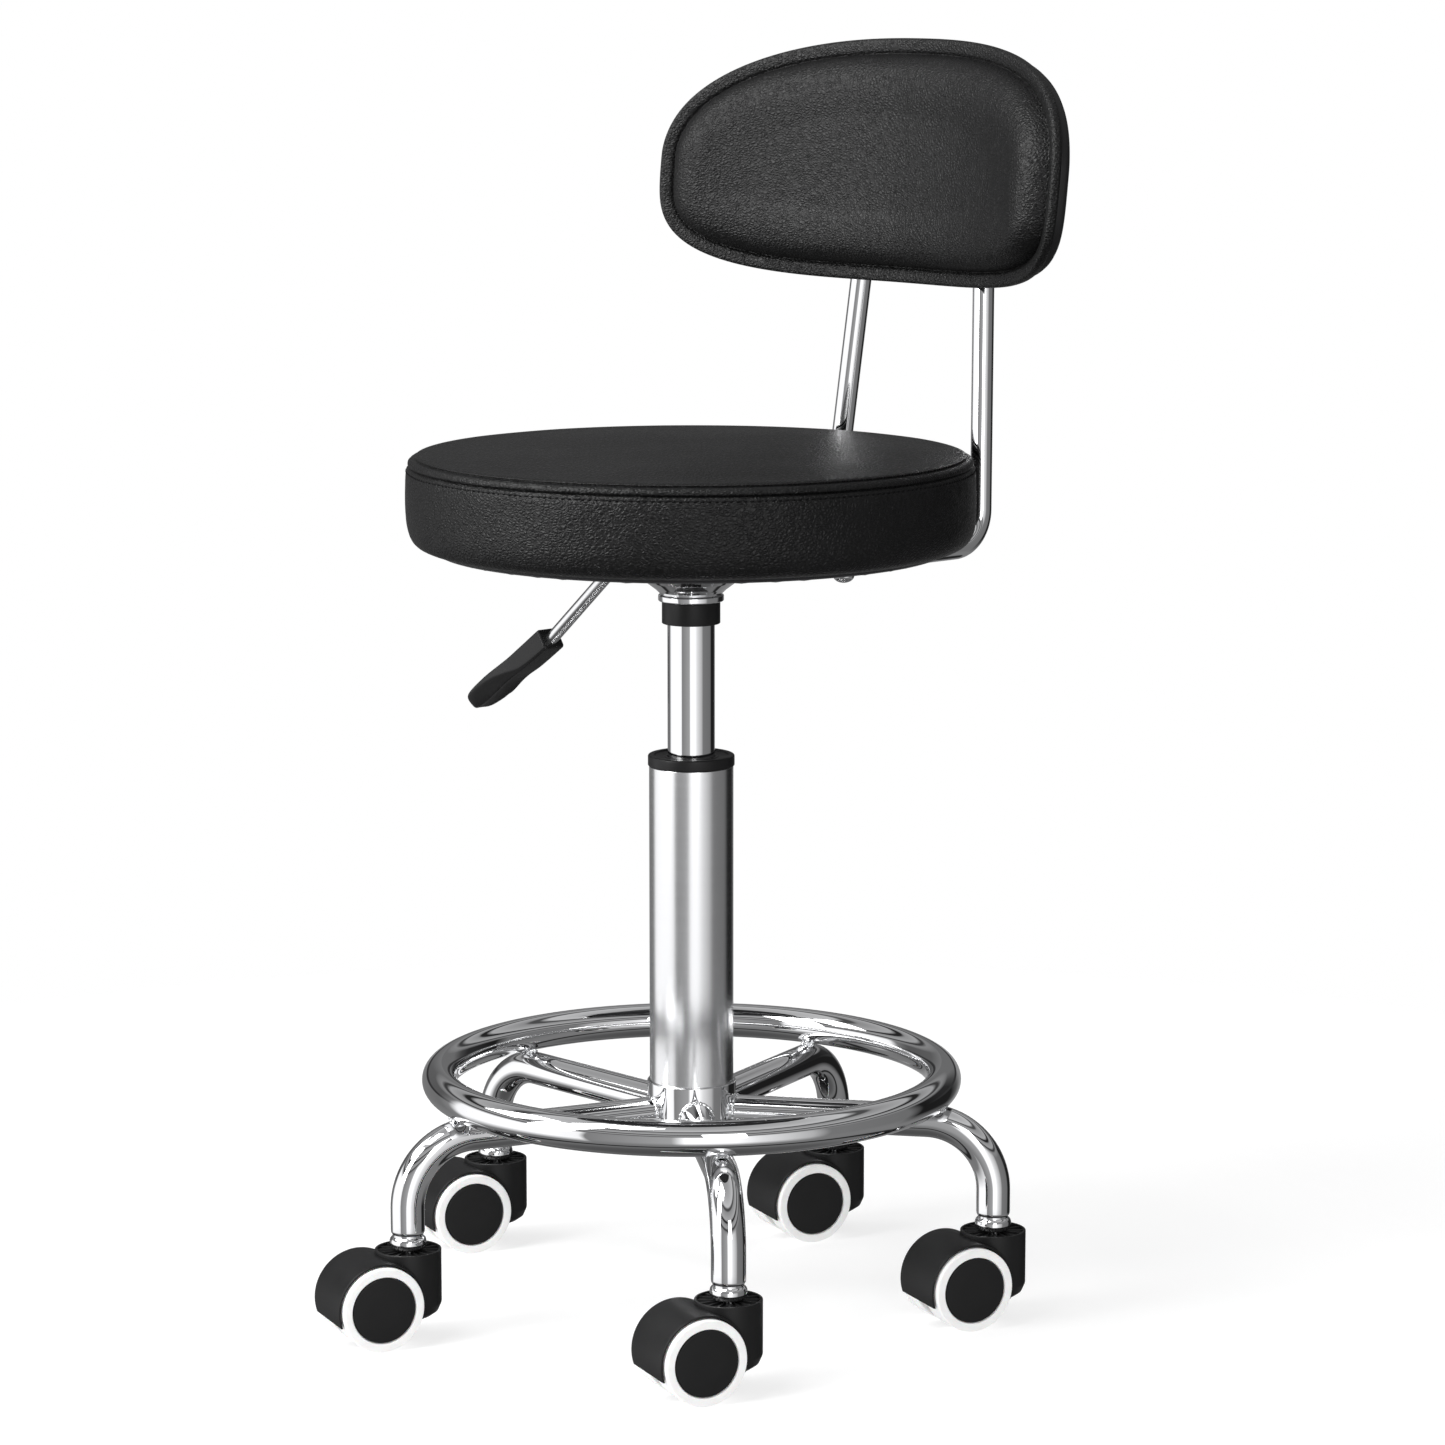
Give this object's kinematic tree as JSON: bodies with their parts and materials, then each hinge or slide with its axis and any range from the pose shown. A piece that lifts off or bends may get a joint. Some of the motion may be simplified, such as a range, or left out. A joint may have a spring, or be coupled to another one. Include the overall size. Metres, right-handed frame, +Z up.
{
  "type": "rolling salon stool",
  "caption": "Height-adjustable rolling stool with a round padded seat, low curved backrest, gas lift column, foot ring and twin-wheel casters.",
  "frame": {"origin": "on the floor, on the column axis", "axes": "+Z up along the column; the sitter faces -Y, the backrest is on the +Y side and the lever is on the -X side, which is the sitter's right"},
  "size_m": [0.3909, 0.4324, 0.7516],
  "materials": {
    "chrome": "mirror polished chrome plate",
    "satin_chrome": "satin chrome plate",
    "steel": "ground steel",
    "plastic": "black nylon, satin",
    "caster_plastic": "black nylon, satin, light grain",
    "back_shell": "black textured shell",
    "leather": "black PU leather, pebble grain",
    "plywood": "bare plywood",
    "tyre_white": "white polyurethane, satin"
  },
  "bodies": {
    "base": {"hub": "chrome", "outer_tube": "satin_chrome", "tube_cap": "plastic", "foot_ring": "chrome", "leg_1": "chrome", "leg_2": "chrome", "leg_3": "chrome", "leg_4": "chrome", "leg_5": "chrome"},
    "spindle": {"piston_rod": "steel", "thrust_bearing": "steel"},
    "seat": {"gas_cylinder": "chrome", "cylinder_collar": "plastic", "mount_plate": "chrome", "seat_board": "plywood", "seat_cushion": "leather", "back_tube_left": "chrome", "back_tube_right": "chrome", "back_bolt_left": "chrome", "back_bolt_right": "chrome", "back_board": "back_shell", "back_cushion": "leather"},
    "lever": {"lever_rod": "chrome", "lever_grip": "plastic"},
    "release_pin": {"release_pin": "steel"},
    "caster_1": {"caster_housing_1": "caster_plastic", "caster_stem_1": "steel", "caster_axle_1": "steel"},
    "wheel_1a": {"wheel_core_1a": "caster_plastic", "wheel_tyre_1a": "tyre_white"},
    "wheel_1b": {"wheel_core_1b": "caster_plastic", "wheel_tyre_1b": "tyre_white"},
    "caster_2": {"caster_housing_2": "caster_plastic", "caster_stem_2": "steel", "caster_axle_2": "steel"},
    "wheel_2a": {"wheel_core_2a": "caster_plastic", "wheel_tyre_2a": "tyre_white"},
    "wheel_2b": {"wheel_core_2b": "caster_plastic", "wheel_tyre_2b": "tyre_white"},
    "caster_3": {"caster_housing_3": "caster_plastic", "caster_stem_3": "steel", "caster_axle_3": "steel"},
    "wheel_3a": {"wheel_core_3a": "caster_plastic", "wheel_tyre_3a": "tyre_white"},
    "wheel_3b": {"wheel_core_3b": "caster_plastic", "wheel_tyre_3b": "tyre_white"},
    "caster_4": {"caster_housing_4": "caster_plastic", "caster_stem_4": "steel", "caster_axle_4": "steel"},
    "wheel_4a": {"wheel_core_4a": "caster_plastic", "wheel_tyre_4a": "tyre_white"},
    "wheel_4b": {"wheel_core_4b": "caster_plastic", "wheel_tyre_4b": "tyre_white"},
    "caster_5": {"caster_housing_5": "caster_plastic", "caster_stem_5": "steel", "caster_axle_5": "steel"},
    "wheel_5a": {"wheel_core_5a": "caster_plastic", "wheel_tyre_5a": "tyre_white"},
    "wheel_5b": {"wheel_core_5b": "caster_plastic", "wheel_tyre_5b": "tyre_white"}
  },
  "joints": [
    {"name": "seat_swivel", "type": "hinge", "parent": "base", "child": "spindle", "pos_m": [0, 0, 0.1], "axis": [0, 0, 1], "continuous": true},
    {"name": "seat_lift", "type": "slide", "parent": "spindle", "child": "seat", "axis": [0, 0, 1], "range_m": [-0.07, 0.065]},
    {"name": "lever_lift", "type": "hinge", "parent": "seat", "child": "lever", "pos_m": [-0.022, 0, 0.443], "axis": [0, 1, 0], "range_deg": [0, 6], "stiffness_Nm_per_rad": 6, "springref_deg": -5.73},
    {"name": "pin_press", "type": "slide", "parent": "seat", "child": "release_pin", "axis": [0, 0, -1], "range_m": [0, 0.003]},
    {"name": "caster_1_swivel", "type": "hinge", "parent": "base", "child": "caster_1", "pos_m": [0.14866, -0.10604, 0.06], "axis": [0, 0, 1], "continuous": true},
    {"name": "wheel_1a_roll", "type": "hinge", "parent": "caster_1", "child": "wheel_1a", "pos_m": [0.14137, -0.12901, 0.025], "axis": [0.9532, -0.3024, 0], "continuous": true},
    {"name": "wheel_1b_roll", "type": "hinge", "parent": "caster_1", "child": "wheel_1b", "pos_m": [0.14137, -0.12901, 0.025], "axis": [0.9532, -0.3024, 0], "continuous": true},
    {"name": "caster_2_swivel", "type": "hinge", "parent": "base", "child": "caster_2", "pos_m": [0.14678, 0.10862, 0.06], "axis": [0, 0, 1], "continuous": true},
    {"name": "wheel_2a_roll", "type": "hinge", "parent": "caster_2", "child": "wheel_2a", "pos_m": [0.1395, 0.08564, 0.025], "axis": [0.9532, -0.3024, 0], "continuous": true},
    {"name": "wheel_2b_roll", "type": "hinge", "parent": "caster_2", "child": "wheel_2b", "pos_m": [0.1395, 0.08564, 0.025], "axis": [0.9532, -0.3024, 0], "continuous": true},
    {"name": "caster_3_swivel", "type": "hinge", "parent": "base", "child": "caster_3", "pos_m": [-0.05794, 0.17316, 0.06], "axis": [0, 0, 1], "continuous": true},
    {"name": "wheel_3a_roll", "type": "hinge", "parent": "caster_3", "child": "wheel_3a", "pos_m": [-0.06523, 0.15019, 0.025], "axis": [0.9532, -0.3024, 0], "continuous": true},
    {"name": "wheel_3b_roll", "type": "hinge", "parent": "caster_3", "child": "wheel_3b", "pos_m": [-0.06523, 0.15019, 0.025], "axis": [0.9532, -0.3024, 0], "continuous": true},
    {"name": "caster_4_swivel", "type": "hinge", "parent": "base", "child": "caster_4", "pos_m": [-0.18259, -0.00159, 0.06], "axis": [0, 0, 1], "continuous": true},
    {"name": "wheel_4a_roll", "type": "hinge", "parent": "caster_4", "child": "wheel_4a", "pos_m": [-0.18988, -0.02457, 0.025], "axis": [0.9532, -0.3024, 0], "continuous": true},
    {"name": "wheel_4b_roll", "type": "hinge", "parent": "caster_4", "child": "wheel_4b", "pos_m": [-0.18988, -0.02457, 0.025], "axis": [0.9532, -0.3024, 0], "continuous": true},
    {"name": "caster_5_swivel", "type": "hinge", "parent": "base", "child": "caster_5", "pos_m": [-0.05491, -0.17415, 0.06], "axis": [0, 0, 1], "continuous": true},
    {"name": "wheel_5a_roll", "type": "hinge", "parent": "caster_5", "child": "wheel_5a", "pos_m": [-0.0622, -0.19712, 0.025], "axis": [0.9532, -0.3024, 0], "continuous": true},
    {"name": "wheel_5b_roll", "type": "hinge", "parent": "caster_5", "child": "wheel_5b", "pos_m": [-0.0622, -0.19712, 0.025], "axis": [0.9532, -0.3024, 0], "continuous": true}
  ],
  "couplings": [
    {"joint": "pin_press", "follows": "lever_lift", "m_per_rad": 0.0255}
  ]
}
